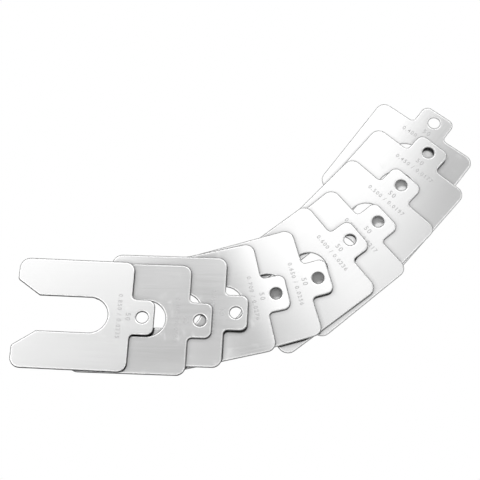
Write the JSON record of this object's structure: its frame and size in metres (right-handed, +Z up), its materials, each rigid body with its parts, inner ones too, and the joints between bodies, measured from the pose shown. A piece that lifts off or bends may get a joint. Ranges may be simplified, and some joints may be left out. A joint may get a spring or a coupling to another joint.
{
  "type": "slotted shim set",
  "caption": "Fan of loose slotted steel shims, each a flat U with a flared slot, a pull tab and a hole in the tab.",
  "frame": {"origin": "on the table under the middle of the fan, which is the centre of its bounding box in plan", "axes": "+X along the top shim from its leg ends to its tab, +Z up from the table"},
  "size_m": [0.1942, 0.1354, 0.0043],
  "materials": {
    "shim_steel": "satin rolled stainless sheet, edges tumbled bright",
    "etched_figures": "matt grey acid-etched figures"
  },
  "bodies": {
    "shim_01": {"shim_01": "shim_steel"},
    "shim_02": {"shim_02": "shim_steel"},
    "shim_03": {"shim_03": "shim_steel"},
    "shim_04": {"shim_04": "shim_steel"},
    "shim_05": {"shim_05": "shim_steel"},
    "shim_06": {"shim_06": "shim_steel"},
    "shim_07": {"shim_07": "shim_steel"},
    "shim_08": {"shim_08": "shim_steel"},
    "shim_09": {"shim_09": "shim_steel"},
    "shim_10": {"shim_10": "shim_steel"}
  },
  "joints": [
    {"name": "lift_09", "type": "slide", "parent": "shim_10", "child": "shim_09", "axis": [0, 0, 1], "range_m": [0, 0.015]},
    {"name": "lift_08", "type": "slide", "parent": "shim_09", "child": "shim_08", "axis": [0, 0, 1], "range_m": [0, 0.015]},
    {"name": "lift_07", "type": "slide", "parent": "shim_08", "child": "shim_07", "axis": [0, 0, 1], "range_m": [0, 0.015]},
    {"name": "lift_06", "type": "slide", "parent": "shim_07", "child": "shim_06", "axis": [0, 0, 1], "range_m": [0, 0.015]},
    {"name": "lift_05", "type": "slide", "parent": "shim_06", "child": "shim_05", "axis": [0, 0, 1], "range_m": [0, 0.015]},
    {"name": "lift_04", "type": "slide", "parent": "shim_05", "child": "shim_04", "axis": [0, 0, 1], "range_m": [0, 0.015]},
    {"name": "lift_03", "type": "slide", "parent": "shim_04", "child": "shim_03", "axis": [0, 0, 1], "range_m": [0, 0.015]},
    {"name": "lift_02", "type": "slide", "parent": "shim_03", "child": "shim_02", "axis": [0, 0, 1], "range_m": [0, 0.015]},
    {"name": "lift_01", "type": "slide", "parent": "shim_02", "child": "shim_01", "axis": [0, 0, 1], "range_m": [0, 0.015]}
  ]
}
